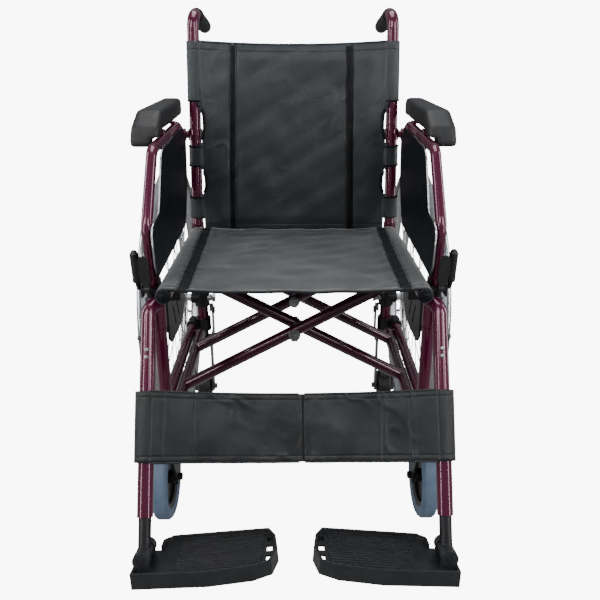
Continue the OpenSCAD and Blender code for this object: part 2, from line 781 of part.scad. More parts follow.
leg_tube(1);  // leg_tube_right
footplate(-1);  // footplate_left
footplate(1);  // footplate_right
calf_strap(-1);  // calf_strap_left
calf_strap(1);  // calf_strap_right
transit_arm(-1);  // transit_arm_left
transit_arm(1);  // transit_arm_right
transit_wheel(-1);  // transit_wheel_left
transit_wheel(1);  // transit_wheel_right
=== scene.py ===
"""Looks of the folding wheelchair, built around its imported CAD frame. Metres, row frame."""

import math

import bmesh
import bpy
import numpy as np
from mathutils import Matrix, Vector


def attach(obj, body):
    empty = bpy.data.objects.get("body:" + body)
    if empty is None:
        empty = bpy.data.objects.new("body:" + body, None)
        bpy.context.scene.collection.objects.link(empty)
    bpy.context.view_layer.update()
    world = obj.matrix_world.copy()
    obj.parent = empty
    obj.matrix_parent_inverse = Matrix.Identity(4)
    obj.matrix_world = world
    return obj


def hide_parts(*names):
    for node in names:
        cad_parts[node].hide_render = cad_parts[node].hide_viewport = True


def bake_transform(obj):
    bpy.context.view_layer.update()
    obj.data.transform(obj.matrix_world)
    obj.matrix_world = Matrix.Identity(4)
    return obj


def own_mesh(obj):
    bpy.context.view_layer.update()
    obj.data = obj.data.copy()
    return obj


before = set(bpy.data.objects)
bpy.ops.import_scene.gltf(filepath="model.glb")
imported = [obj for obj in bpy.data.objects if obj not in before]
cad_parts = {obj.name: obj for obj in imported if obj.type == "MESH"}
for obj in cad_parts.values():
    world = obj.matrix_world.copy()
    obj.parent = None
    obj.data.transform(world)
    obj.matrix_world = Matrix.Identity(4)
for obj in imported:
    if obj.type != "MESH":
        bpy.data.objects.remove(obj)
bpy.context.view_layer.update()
scene = bpy.context.scene

FRONT = -0.2386            # front edge of the seat cloth
RAIL_X, RAIL_Z, RAIL_DROP, SEAT_D = 0.215, 0.475, 0.011, 0.408
CANE_X, CANE_Y, CANE_TOP_X = 0.215, FRONT + 0.425, 0.2085
RECLINE = math.radians(8.2)
HANDLE_Z = 0.917
SIDES = (("left", -1), ("right", 1))


# ---------- material building ----------

class Nodes:
    """Short hand for building a node tree round one Principled shader."""

    def __init__(self, name):
        self.material = bpy.data.materials.new(name)
        self.material.use_nodes = True
        self.tree = self.material.node_tree
        self.shader = self.tree.nodes["Principled BSDF"]

    def add(self, kind, **values):
        node = self.tree.nodes.new(kind)
        for key, value in values.items():
            if key.startswith("in_"):
                key = key[3:]
                node.inputs[int(key) if key.isdigit() else key.replace("_", " ")].default_value = value
            else:
                setattr(node, key, value)
        return node

    def link(self, a, b):
        self.tree.links.new(a, b)

    def set(self, **values):
        for key, value in values.items():
            self.shader.inputs[key.replace("_", " ")].default_value = value

    def coords(self, scale=(1, 1, 1), rotate=(0, 0, 0)):
        mapping = self.add("ShaderNodeMapping")
        mapping.inputs["Scale"].default_value = scale
        mapping.inputs["Rotation"].default_value = rotate
        self.link(self.add("ShaderNodeTexCoord").outputs["Object"], mapping.inputs["Vector"])
        return mapping.outputs["Vector"]

    def noise(self, vector, scale, detail=4, roughness=0.55):
        node = self.add("ShaderNodeTexNoise", in_Scale=scale, in_Detail=detail, in_Roughness=roughness)
        self.link(vector, node.inputs["Vector"])
        return node.outputs["Fac"]

    def ramp(self, fac, stops):
        node = self.add("ShaderNodeValToRGB")
        ramp = node.color_ramp
        while len(ramp.elements) < len(stops):
            ramp.elements.new(0.5)
        for element, (at, colour) in zip(ramp.elements, stops):
            element.position = at
            element.color = colour if len(colour) == 4 else (*colour, 1)
        self.link(fac, node.inputs["Fac"])
        return node.outputs["Color"]

    def span(self, fac, low, high):
        node = self.add("ShaderNodeMapRange", in_3=low, in_4=high)
        self.link(fac, node.inputs[0])
        return node.outputs[0]

    def math(self, kind, a, b):
        node = self.add("ShaderNodeMath", operation=kind)
        for socket, value in zip(node.inputs, (a, b)):
            if isinstance(value, (int, float)):
                socket.default_value = value
            else:
                self.link(value, socket)
        return node.outputs[0]

    def bump(self, height, distance, strength=1.0, under=None):
        node = self.add("ShaderNodeBump", in_Strength=strength, in_Distance=distance)
        self.link(height, node.inputs["Height"])
        if under is not None:
            self.link(under, node.inputs["Normal"])
        self.link(node.outputs["Normal"], self.shader.inputs["Normal"])
        return node.outputs["Normal"]

    def rounded(self, radius):
        """Soft edges on sharp CAD corners."""
        return self.add("ShaderNodeBevel", samples=4, in_Radius=radius).outputs["Normal"]

    def mottle(self, vector, dark, light, scale, contrast=0.25):
        colour = self.ramp(self.noise(vector, scale), [(0.5 - contrast, dark), (0.5 + contrast, light)])
        self.link(colour, self.shader.inputs["Base Color"])
        return colour


def paint(name, dark, light, rough=0.2, metallic=0.35):
    """Enamelled steel with fine flake, a slight orange peel and a clear coat."""
    n = Nodes(name)
    v = n.coords()
    n.mottle(v, dark, light, 260, 0.3)
    n.set(Metallic=metallic, Coat_Weight=0.8, Coat_Roughness=0.06, Specular_IOR_Level=0.6)
    n.link(n.span(n.noise(v, 35), rough * 0.8, rough * 1.3), n.shader.inputs["Roughness"])
    n.bump(n.noise(v, 90, 2), 0.00002, 0.08, n.rounded(0.0006))
    return n.material


def moulded(name, dark, light, rough=0.45, grain=900, depth=0.0001, edge=0.001, gloss=0.4):
    """Moulded plastic or rubber: pebbled skin, uneven sheen and rounded edges."""
    n = Nodes(name)
    v = n.coords()
    n.mottle(v, dark, light, 40)
    n.link(n.span(n.noise(v, 90), rough * 0.82, rough * 1.18), n.shader.inputs["Roughness"])
    n.set(Specular_IOR_Level=gloss)
    cells = n.add("ShaderNodeTexVoronoi", in_Scale=grain)
    n.link(v, cells.inputs["Vector"])
    n.bump(cells.outputs["Distance"], depth, 0.5, n.rounded(edge))
    return n.material


def metal(name, dark, light, rough, brushed=(1, 1, 1), edge=0.0004):
    """Plated or brushed metal with fine scratches along the given stretch."""
    n = Nodes(name)
    v = n.coords(brushed)
    n.mottle(v, dark, light, 120)
    n.set(Metallic=1.0)
    n.link(n.span(n.noise(v, 300, 3), rough * 0.7, rough * 1.4), n.shader.inputs["Roughness"])
    n.bump(n.noise(v, 700, 2), 0.00005, 0.4, n.rounded(edge))
    return n.material


def cloth(name, dark, light, rough, plane, sheen=0.35, thread=0.0011, puckers=0.0006, gloss=0.5):
    """Woven nylon: warp and weft threads over soft puckers, with a sheen that varies."""
    n = Nodes(name)
    v = n.coords()
    n.mottle(v, dark, light, 14, 0.3)
    parts = n.add("ShaderNodeSeparateXYZ")
    n.link(v, parts.inputs[0])
    threads = []
    for axis in plane:
        scaled = n.math("MULTIPLY", parts.outputs[axis], math.pi / thread)
        threads.append(n.math("ABSOLUTE", n.math("SINE", scaled, 0), 0))
    weave = n.math("ADD", threads[0], threads[1])
    n.link(n.span(n.noise(v, 25, 6), rough * 0.85, rough * 1.2), n.shader.inputs["Roughness"])
    n.set(Sheen_Weight=sheen, Sheen_Roughness=0.4, Specular_IOR_Level=gloss)
    soft = n.bump(n.noise(v, 55, 5, 0.6), puckers, 0.6)
    n.bump(weave, 0.00022, 0.35, soft)
    return n.material


BURGUNDY = paint("burgundy_enamel", (0.088, 0.0015, 0.026), (0.108, 0.003, 0.034), 0.2)
# half-bright copy of the frame enamel for the cross brace: painted shade under the seat
BURGUNDY_SHADED = paint("burgundy_enamel_brace_painted_shade", (0.042, 0.0010, 0.011), (0.054, 0.0018, 0.015), 0.26)
DARK_METAL = moulded("black_powder_coat",
                     (0.008, 0.008, 0.009), (0.016, 0.016, 0.018), 0.38, 1400, 0.00006, 0.0008)
GREY_METAL = paint("grey_cast_metal", (0.055, 0.058, 0.062), (0.10, 0.104, 0.11), 0.4, 0.6)
PLASTIC = moulded("black_moulding", (0.010, 0.010, 0.011), (0.020, 0.020, 0.022), 0.4)
FOOT_PLASTIC = moulded("footplate_moulding",
                       (0.013, 0.014, 0.015), (0.024, 0.025, 0.027), 0.36, 700, 0.0001, 0.0016)
PANEL = moulded("guard_panel",
                (0.0025, 0.0035, 0.006), (0.005, 0.0065, 0.010), 0.42, 500, 0.00005, gloss=0.2)
RUBBER = moulded("grip_rubber", (0.012, 0.012, 0.013), (0.026, 0.026, 0.028), 0.55, 650, 0.00018)
FOAM = moulded("armpad_skin", (0.010, 0.010, 0.011), (0.019, 0.019, 0.020), 0.5, 420, 0.00022, 0.002)
CASTER_RUBBER = moulded("caster_tyre_rubber", (0.105, 0.155, 0.235), (0.16, 0.22, 0.31), 0.5, 500)
REAR_RUBBER = moulded("rear_tyre_rubber", (0.20, 0.21, 0.22), (0.32, 0.33, 0.34), 0.55, 350, 0.0002)
CHROME = metal("plated_steel", (0.62, 0.63, 0.65), (0.80, 0.81, 0.82), 0.16)
ALLOY = metal("brushed_alloy", (0.50, 0.51, 0.53), (0.68, 0.69, 0.71), 0.32, (1, 1, 12))
ZINC = metal("zinc_bolts", (0.30, 0.30, 0.31), (0.55, 0.55, 0.56), 0.3)
SEAT_CLOTH = cloth("seat_nylon", (0.028, 0.032, 0.035), (0.050, 0.055, 0.058), 0.40, (0, 1), 0.42)
# darker copy of the seat nylon: painted shade on the seat's side bands and on its front and rear hems
SEAT_EDGE_SHADE = cloth("seat_edge_nylon_painted_shade",
                  (0.006, 0.007, 0.008), (0.013, 0.014, 0.016), 0.42, (0, 1), 0.03, gloss=0.16)
BACK_CLOTH = cloth("back_nylon", (0.014, 0.018, 0.021), (0.030, 0.035, 0.040), 0.38, (0, 2), 0.28)
STRAP_CLOTH = cloth("strap_nylon",
                    (0.006, 0.007, 0.008), (0.016, 0.017, 0.019), 0.40, (0, 2), 0.14, gloss=0.4)
BINDING = cloth("binding_tape",
                (0.003, 0.003, 0.004), (0.007, 0.007, 0.008), 0.45, (0, 1), 0.02, 0.0008, gloss=0.15)
THREAD = cloth("sewing_thread",
               (0.012, 0.013, 0.014), (0.032, 0.034, 0.036), 0.6, (0, 1), 0.15, 0.0004, gloss=0.2)

LOOKS = {
    "side_frame": BURGUNDY, "back_cane": BURGUNDY, "hand_grip": RUBBER, "post_clamps": DARK_METAL,
    "seat_guide": PLASTIC, "front_bracket": DARK_METAL, "rear_axle": CHROME, "rear_hub": ALLOY,
    "rear_spokes": CHROME, "rear_rim": ALLOY, "rear_tyre": REAR_RUBBER, "handrim": CHROME,
    "caster_fork": DARK_METAL, "caster_hub": PLASTIC, "caster_tyre": CASTER_RUBBER,
    "arm_tube": BURGUNDY, "arm_pad": FOAM, "side_guard": PANEL, "arm_latch": PLASTIC,
    "lock_lever": DARK_METAL, "lock_shoe": GREY_METAL, "hanger": BURGUNDY, "leg_tube": DARK_METAL,
    "footplate": FOOT_PLASTIC, "calf_strap": STRAP_CLOTH, "transit_arm": GREY_METAL,
    # the cross brace takes the darker enamel as painted shade
    "transit_wheel": PLASTIC, "brace_a": BURGUNDY_SHADED, "brace_b": BURGUNDY_SHADED,
    "brace_bolts": ZINC, "seat_sling": SEAT_CLOTH, "back_sling": BACK_CLOTH,
}
for node_name, node_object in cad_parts.items():
    look = LOOKS[node_name.removesuffix("_left").removesuffix("_right")]
    for slot_of in node_object.material_slots:
        slot_of.material = look


# ---------- mesh helpers ----------

def piece(name, verts, faces, material, smooth=True):
    mesh = bpy.data.meshes.new(name)
    mesh.from_pydata([tuple(v) for v in verts], [], faces)
    mesh.update()
    mesh.materials.append(material)
    if smooth:
        mesh.polygons.foreach_set("use_smooth", [True] * len(mesh.polygons))
    made = bpy.data.objects.new(name, mesh)
    scene.collection.objects.link(made)
    return made


def applied(obj):
    """Bakes the object's modifiers into its mesh."""
    graph = bpy.context.evaluated_depsgraph_get()
    mesh = bpy.data.meshes.new_from_object(obj.evaluated_get(graph))
    obj.modifiers.clear()
    obj.data = mesh
    mesh.polygons.foreach_set("use_smooth", [True] * len(mesh.polygons))
    return obj


def grid_faces(columns, rows, skip=lambda i, j: False):
    return [(j * columns + i, j * columns + i + 1, (j + 1) * columns + i + 1, (j + 1) * columns + i)
            for j in range(rows - 1) for i in range(columns - 1) if not skip(i, j)]


def swept(name, path, radius, material, sides=10, flat=1.0, up=(0, 0, 1)):
    """Closed tube along a path; flat squeezes its section along the second axis."""
    pts = [Vector(p) for p in path]
    verts, faces = [], []
    for k, p in enumerate(pts):
        t = (pts[min(k + 1, len(pts) - 1)] - pts[max(k - 1, 0)]).normalized()
        a = t.cross(Vector(up)).normalized()
        b = t.cross(a).normalized()
        for i in range(sides):
            w = 2 * math.pi * i / sides
            verts.append(p + a * radius * math.cos(w) + b * radius * flat * math.sin(w))
    for k in range(len(pts) - 1):
        for i in range(sides):
            j = (i + 1) % sides
            faces.append((k * sides + i, k * sides + j, (k + 1) * sides + j, (k + 1) * sides + i))
    faces.append(tuple(reversed(range(sides))))
    faces.append(tuple(range((len(pts) - 1) * sides, len(pts) * sides)))
    return piece(name, verts, faces, material)


def joined(name, objects, material=None):
    """Several pieces made into one."""
    verts, faces, mats, materials = [], [], [], []
    for o in objects:
        start = len(verts)
        verts += [o.matrix_world @ v.co for v in o.data.vertices]
        m = o.data.materials[0]
        if m not in materials:
            materials.append(m)
        faces += [tuple(start + i for i in p.vertices) for p in o.data.polygons]
        mats += [materials.index(m)] * len(o.data.polygons)
        bpy.data.objects.remove(o)
    made = piece(name, verts, faces, materials[0])
    for m in materials[1:]:
        made.data.materials.append(m)
    made.data.polygons.foreach_set("material_index", mats)
    return made


def stitches(name, path, pitch=0.0042, long=0.0028, radius=0.00045):
    """A sewn line: short thread beads laid along the path."""
    pts = [Vector(p) for p in path]
    lengths = [0.0]
    for a, b in zip(pts, pts[1:]):
        lengths.append(lengths[-1] + (b - a).length)
    verts, faces = [], []
    ring = [(-0.5, 0.35), (-0.25, 1.0), (0.25, 1.0), (0.5, 0.35)]
    at = pitch / 2
    k = 0
    while at < lengths[-1]:
        while lengths[k + 1] < at:
            k += 1
        d = (pts[k + 1] - pts[k]).normalized()
        p = pts[k] + d * (at - lengths[k])
        a = d.orthogonal().normalized()
        b = d.cross(a)
        start = len(verts)
        for along, wide in ring:
            for i in range(6):
                w = math.pi * i / 3
                verts.append(p + d * along * long + (a * math.cos(w) + b * math.sin(w)) * radius * wide)
        for r in range(3):
            for i in range(6):
                j = (i + 1) % 6
                low = start + r * 6
                faces.append((low + i, low + j, low + 6 + j, low + 6 + i))
        faces.append(tuple(start + i for i in reversed(range(6))))
        faces.append(tuple(start + 18 + i for i in range(6)))
        at += pitch
    return piece(name, verts, faces, THREAD)


def field(seed, waves, low, high):
    """Smooth random height over two coordinates, as a sum of sine waves; lengths in metres."""
    rng = np.random.default_rng(seed)
    angle = rng.uniform(0, math.pi, waves)
    size = rng.uniform(low, high, waves)
    phase = rng.uniform(0, 2 * math.pi, waves)

    def height(u, v):
        total = np.zeros(np.broadcast(u, v).shape)
        for a, s, p in zip(angle, size, phase):
            total += np.sin((u * math.cos(a) + v * math.sin(a)) * 2 * math.pi / s + p)
        return total / math.sqrt(waves)
    return height


def creases(seed, low, high, sharp=5):
    """Sharp, scattered fold lines between 0 and 1: ridges of one field, let through by another."""
    ridge, mask = field(seed, 7, low, high), field(seed + 1, 5, high, 2.5 * high)

    def height(u, v):
        line = np.clip(1 - np.abs(ridge(u, v)), 0, 1) ** sharp
        return line * np.clip(mask(u, v) + 0.1, 0, 1)
    return height


def hung_cloth(width, length, slack, gravity, seed, cells=0.0075):
    """Simulates a panel held along both sides, and returns its offsets as a function of place."""
    nx, ny = int(width / cells) + 1, int(length / cells) + 1
    xs, ys = np.linspace(-width / 2, width / 2, nx), np.linspace(0, length, ny)
    gx, gy = np.meshgrid(xs, ys)
    rest = np.stack([gx.ravel(), gy.ravel(), 0.0006 * field(seed, 9, 0.03, 0.12)(gx, gy).ravel()], 1)
    offsets = np.zeros((ny, nx, 3))
    panel = piece("cloth_test", rest, grid_faces(nx, ny), THREAD)
    held = panel.vertex_groups.new(name="held")
    held.add([j * nx + i for j in range(ny) for i in (0, nx - 1)], 1.0, "REPLACE")
    modifier = panel.modifiers.new("Cloth", "CLOTH")
    s = modifier.settings
    s.quality, s.mass, s.air_damping = 6, 0.25, 4
    s.tension_stiffness = s.compression_stiffness = 25
    s.shear_stiffness, s.bending_stiffness = 8, 0.6
    s.vertex_group_mass = "held"
    s.shrink_min = -slack
    modifier.point_cache.frame_start, modifier.point_cache.frame_end = 1, 22
    old = tuple(scene.gravity)
    scene.gravity = gravity
    for f in range(1, 23):
        scene.frame_set(f)
    got = panel.evaluated_get(bpy.context.evaluated_depsgraph_get()).to_mesh()
    at = np.zeros(len(got.vertices) * 3)
    got.vertices.foreach_get("co", at)
    offsets = (at.reshape(-1, 3) - rest).reshape(ny, nx, 3)
    scene.gravity = old
    scene.frame_set(1)
    bpy.data.objects.remove(panel)

    def at_place(x, y):
        fx = np.clip((x + width / 2) / width * (nx - 1), 0, nx - 1.001)
        fy = np.clip(y / length * (ny - 1), 0, ny - 1.001)
        i, j = fx.astype(int), fy.astype(int)
        a, b = (fx - i)[..., None], (fy - j)[..., None]
        return ((offsets[j, i] * (1 - a) + offsets[j, i + 1] * a) * (1 - b)
                + (offsets[j + 1, i] * (1 - a) + offsets[j + 1, i + 1] * a) * b)
    return at_place


def spaced(low, high, step, dense=(), near=0.006, fine=0.0011):
    """Grid stops from low to high, closer together round the given places."""
    stops = set(np.round(np.linspace(low, high, int((high - low) / step) + 2), 5))
    for d in dense:
        stops |= set(np.round(np.arange(max(low, d - near), min(high, d + near), fine), 5))
    out = []
    for s in sorted(stops):
        if not out or s - out[-1] > fine * 0.6:
            out.append(s)
    return np.array(out)


def groove(distance, wide=0.0014):
    return np.exp(-(distance / wide) ** 2)


def thickened(obj, thickness):
    solid = obj.modifiers.new("Solid", "SOLIDIFY")
    solid.thickness, solid.offset = thickness, 0
    return applied(obj)


# ---------- seat sling ----------

SLEEVE_R = 0.0134


def rail_z(v):
    return RAIL_Z - RAIL_DROP * v / 0.403


SIDE_BAND = 0.0165              # width of the sewn band along each side of the seat, whose darker nylon is painted shade


def seam_x(v):
    return 0.1935 + 0.0075 * v / SEAT_D


def build_seat():
    over = math.radians(178) * SLEEVE_R
    us = spaced(-RAIL_X - over, RAIL_X + over, 0.0055, (-0.2, -0.181, 0.181, 0.2), 0.009)
    vs = spaced(0, SEAT_D - 0.003, 0.006, (0.013, 0.017, SEAT_D - 0.016))
    u, v = np.meshgrid(us, vs)
    side = np.sign(u)
    turn = np.clip((np.abs(u) - RAIL_X) / SLEEVE_R, 0, None)
    x = np.where(turn > 0, side * (RAIL_X + SLEEVE_R * np.sin(turn)), u)
    z = rail_z(v) + SLEEVE_R * np.cos(turn)
    hang = hung_cloth(2 * RAIL_X, SEAT_D, 0.006, (0, 0, -9.8), 3)
    inner = np.clip((RAIL_X - np.abs(u)) / 0.05, 0, 1)
    edge = np.clip(np.minimum(v, SEAT_D - v) / 0.03, 0.12, 1)
    move = np.clip(hang(x, v)[..., 2], -0.011, 0.004)
    z += move * inner * edge
    z -= 0.0035 * inner * np.clip(1 - (u / RAIL_X) ** 2, 0, 1)
    z += 0.0009 * field(11, 12, 0.035, 0.11)(u, v) * inner
    seam = np.minimum(np.abs(np.abs(u) - seam_x(v)), np.abs(np.abs(u) - seam_x(v) + SIDE_BAND))
    z -= 0.0014 * groove(seam, 0.0016)
    z -= 0.0016 * groove(np.abs(u) - seam_x(v) + SIDE_BAND / 2, SIDE_BAND / 2)
    pucker = (np.sin(v * 2 * math.pi / 0.019 + 3 * np.sin(v * 40))
              + 0.6 * np.sin(v * 2 * math.pi / 0.033 + 1))
    z += 0.0007 * pucker * groove(np.abs(u) - seam_x(v) + SIDE_BAND / 2, 0.014)
    z += 0.0014 * field(41, 9, 0.06, 0.18)(u, v * 0.7) * inner * edge
    z += 0.0016 * creases(43, 0.05, 0.12)(u * 0.8, v) * inner * edge
    hem = np.minimum(np.abs(v - 0.015), np.abs(v - (SEAT_D - 0.016)))
    z -= 0.0009 * groove(hem) * (turn <= 0)
    y = FRONT + 0.0015 + v
    cradle = ((v > 0.0645) & (v < 0.1015)) | ((v > 0.1945) & (v < 0.2315))
    cut = cradle & (turn > math.radians(66))
    obj = piece("seat_cloth", np.stack([x, y, z], -1).reshape(-1, 3),
                grid_faces(len(us), len(vs), lambda i, j: cut[j, i] or cut[j, i + 1]), SEAT_CLOTH)
    # faces on the side bands take the darker nylon, painted shade along the sides of the seat
    obj.data.materials.append(SEAT_EDGE_SHADE)
    for p in obj.data.polygons:
        if -SIDE_BAND < abs(p.center.x) - seam_x(p.center.y - FRONT) < 0:
            p.material_index = 1
    thickened(obj, 0.0016)

    def surface(a, b):
        i, j = int(np.abs(us - a).argmin()), int(np.abs(vs - b).argmin())
        return Vector((a, FRONT + 0.0015 + b, z[j, i] + 0.0012))
    lines = []
    for s in (-1, 1):
        for inset in (-0.002, 0.002, SIDE_BAND - 0.002, SIDE_BAND + 0.002):
            lines.append(stitches("seat_seam", [surface(s * (seam_x(b) - inset), b) for b in vs[::2]]))
    lines.append(stitches("seat_seam", [surface(a, 0.015) for a in us[(np.abs(us) < 0.213)]]))
    lines.append(stitches("seat_seam", [surface(a, SEAT_D - 0.016) for a in us[(np.abs(us) < 0.213)]]))
    seams = joined("seat_stitching", lines)
    across = us[np.abs(us) < 0.2135]
    # the front and rear hems take the darker nylon as painted shade
    front_path = [surface(a, 0.0) + Vector((0, 0.0025, -0.0036)) for a in across]
    front = swept("seat_front_hem", front_path, 0.0034, SEAT_EDGE_SHADE, 10, 0.75)
    back_path = [surface(a, SEAT_D) + Vector((0, -0.0055, -0.0034)) for a in across]
    back = swept("seat_rear_hem", back_path, 0.003, SEAT_EDGE_SHADE, 10, 0.7)
    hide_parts("seat_sling")
    for o in (obj, seams, front, back):
        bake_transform(o)


CAP_SIDES = 32


def build_rail_caps():
    """Domed plastic plugs in the front ends of the two seat rails."""
    for body, s in (("brace_a", 1), ("brace_b", -1)):
        rings = [(0.0122, 0.0008), (0.0124, -0.0004), (0.0119, -0.0020), (0.0098, -0.0031),
                 (0.0012, -0.0035)]
        verts, faces = [], []
        for radius, y in rings:
            verts += [(s * RAIL_X + radius * math.cos(a), FRONT + 0.0018 + y, RAIL_Z + radius * math.sin(a))
                      for a in np.arange(CAP_SIDES) * 2 * math.pi / CAP_SIDES]
        last = (len(rings) - 1) * CAP_SIDES
        for r in range(0, last, CAP_SIDES):
            for i in range(CAP_SIDES):
                j = (i + 1) % CAP_SIDES
                faces.append((r + i, r + j, r + CAP_SIDES + j, r + CAP_SIDES + i))
        faces += [tuple(range(CAP_SIDES)), tuple(reversed(range(last, last + CAP_SIDES)))]
        cap = piece("rail_cap_" + body, verts, faces, PANEL)
        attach(cap, body)


build_seat()
build_rail_caps()


# ---------- back sling ----------

BACK_R = 0.0141
BACK_LOW, BACK_HIGH = 0.4955, 0.860
PANEL_LOW = 0.469           # the panel hangs below its sleeves, behind the seat
SPLIT = 0.197


def cane_x(z):
    return CANE_X + (CANE_TOP_X - CANE_X) * (z - RAIL_Z) / (HANDLE_Z - RAIL_Z)


def cane_y(z):
    return CANE_Y + (z - RAIL_Z) * math.tan(RECLINE)


def strip_x(side, z):
    share = (z - BACK_LOW) / (BACK_HIGH - BACK_LOW)
    return -0.1335 + 0.0081 * share if side < 0 else 0.1227 - 0.0053 * share


NOTCHES = ((0.540, 0.608), (0.648, 0.742))


def notch_depth(z, mid, half):
    return 0.1925 + 0.016 * (np.abs(z - mid) / half) ** 3


def in_notch(x, z):
    for low, high in NOTCHES:
        mid, half = (low + high) / 2, (high - low) / 2
        deep = notch_depth(z, mid, half)
        if abs(z - mid) < half and abs(x) > deep:
            return True
    return False


def build_back():
    hang = hung_cloth(2 * SPLIT, BACK_HIGH - PANEL_LOW, 0.010, (0, -5, -3), 8)
    soft = field(21, 14, 0.04, 0.15)
    lines = creases(5, 0.06, 0.15)

    def place(u, z):
        """Point of the cloth at arc place u and height z; u beyond the cane wraps round it."""
        cx = cane_x(z)
        turn = np.clip((np.abs(u) - cx) / BACK_R, 0, None)
        x = np.where(turn > 0, np.sign(u) * (cx + BACK_R * np.sin(turn)), u)
        y = cane_y(z) - BACK_R * np.cos(turn)
        v = np.clip(z - PANEL_LOW, 0, BACK_HIGH)
        inner = np.clip((SPLIT - np.abs(u)) / 0.04, 0, 1)
        ends = np.clip(np.minimum(v, BACK_HIGH - z) / 0.03, 0.15, 1)
        move = np.clip(hang(x, v)[..., 2], -0.006, 0.009)
        y = y + move * inner * ends + 0.0012 * soft(u, z) * inner
        y = y + 0.0045 * inner * (1 - (u / 0.2) ** 2)
        y = y - 0.0018 * lines(u * 1.4, z) * np.clip(np.minimum(1, (SPLIT - np.abs(u)) / 0.012), 0, 1)
        for side in (-1, 1):
            d = np.abs(u - strip_x(side, z))
            y = y + 0.0016 * groove(d - 0.0068, 0.0016) - 0.0012 * groove(d, 0.005)
        hem = np.minimum(np.abs(v - 0.014), np.abs(BACK_HIGH - z - 0.016))
        y = y + 0.0009 * groove(hem)
        sag = 0.007 * np.clip(1 - (u / 0.2) ** 2, 0, 1) * np.clip((z - 0.74) / 0.12, 0, 1)
        return x, y, z - sag

    def part(name, low, high, dense, bottom=BACK_LOW):
        us = spaced(low, high, 0.006, dense)
        zs = spaced(bottom, BACK_HIGH, 0.006, (bottom + 0.014, BACK_HIGH - 0.016) + sum(NOTCHES, ()), 0.007)
        u, z = np.meshgrid(us, zs)
        x, y, zz = place(u, z)

        def gone(i, j):
            return in_notch((us[i] + us[i + 1]) / 2, (zs[j] + zs[j + 1]) / 2)
        verts = np.stack([x, y, zz], -1).reshape(-1, 3)
        made = piece(name, verts, grid_faces(len(us), len(zs), gone), BACK_CLOTH)
        clean = bmesh.new()
        clean.from_mesh(made.data)
        bmesh.ops.delete(clean, geom=[v for v in clean.verts if not v.link_faces], context="VERTS")
        clean.to_mesh(made.data)
        clean.free()
        return thickened(made, 0.0018)

    strips = [strip_x(s, 0.68) for s in (-1, 1)]
    wrap = math.radians(200) * BACK_R
    panel = part("back_cloth", -SPLIT, SPLIT, tuple(s + d for s in strips for d in (-0.007, 0.007)),
                 PANEL_LOW)
    sleeves = [part("back_sleeve_left", -cane_x(0.5) - wrap, -SPLIT, ()),
               part("back_sleeve_right", SPLIT, cane_x(0.5) + wrap, ())]

    def front(u, z, off):
        x, y, zz = place(np.array([u]), np.array([z]))
        return Vector((float(x[0]), float(y[0]) - off, float(zz[0])))
    heights = np.arange(PANEL_LOW + 0.002, BACK_HIGH, 0.006)
    extras = []
    for s in (-1, 1):
        wide = 0.0052 if s < 0 else 0.0064
        path = [front(strip_x(s, h), h, 0.0014) for h in heights]
        extras.append(swept("back_piping", path, wide, BINDING, 12, 0.4, (0, -1, 0.14)))
        for d in (-0.0078, 0.0078):
            extras.append(stitches("back_stitch", [front(strip_x(s, h) + d, h, 0.0011) for h in heights]))
    across = np.arange(-SPLIT + 0.002, SPLIT, 0.006)
    for h in (PANEL_LOW + 0.014, BACK_HIGH - 0.016):
        extras.append(stitches("back_stitch", [front(a, h, 0.0011) for a in across]))
    for low, high in NOTCHES:
        mid, half = (low + high) / 2, (high - low) / 2
        for s in (-1, 1):
            rim = [front(s * (notch_depth(h, mid, half) - 0.0015), h, -0.0003)
                   for h in np.linspace(low, high, 30) if notch_depth(h, mid, half) < SPLIT]
            extras.append(swept("notch_binding", rim, 0.0034, BINDING, 12))
    for h in (PANEL_LOW, BACK_HIGH):
        extras.append(swept("back_hem", [front(a, h, 0) for a in across], 0.0019, BACK_CLOTH, 8))
    trim = joined("back_trim", extras)
    rims = []
    for s in (-1, 1):
        arc = np.linspace(SPLIT + 0.001, cane_x(0.6) + wrap - 0.002, 30)
        rings = [swept("sleeve_rim", [front(s * a, h, 0) for a in arc], 0.0023, BINDING, 10, 1, (0, 0.1, 1))
                 for notch in NOTCHES for h in notch]
        rims.append(joined("sleeve_rims", rings))
    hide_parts("back_sling")
    for o in (panel, trim):
        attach(o, "frame_left")
        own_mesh(o)
    for (side, _), sleeve, rim in zip(SIDES, sleeves, rims):
        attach(sleeve, "frame_" + side)
        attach(rim, "frame_" + side)


build_back()


# ---------- calf strap ----------

KNEE = Vector((0.242, FRONT + 0.008, 0.452))
TUBE_END = Vector((0.2377, FRONT - 0.165, 0.167))
LEAN = (TUBE_END - KNEE).normalized()
OUT = LEAN.cross(Vector((1, 0, 0))).normalized()
OUT = OUT if OUT.y < 0 else -OUT
STRAP_AT, STRAP_H, STRAP_R = 0.1365, 0.113, 0.0146


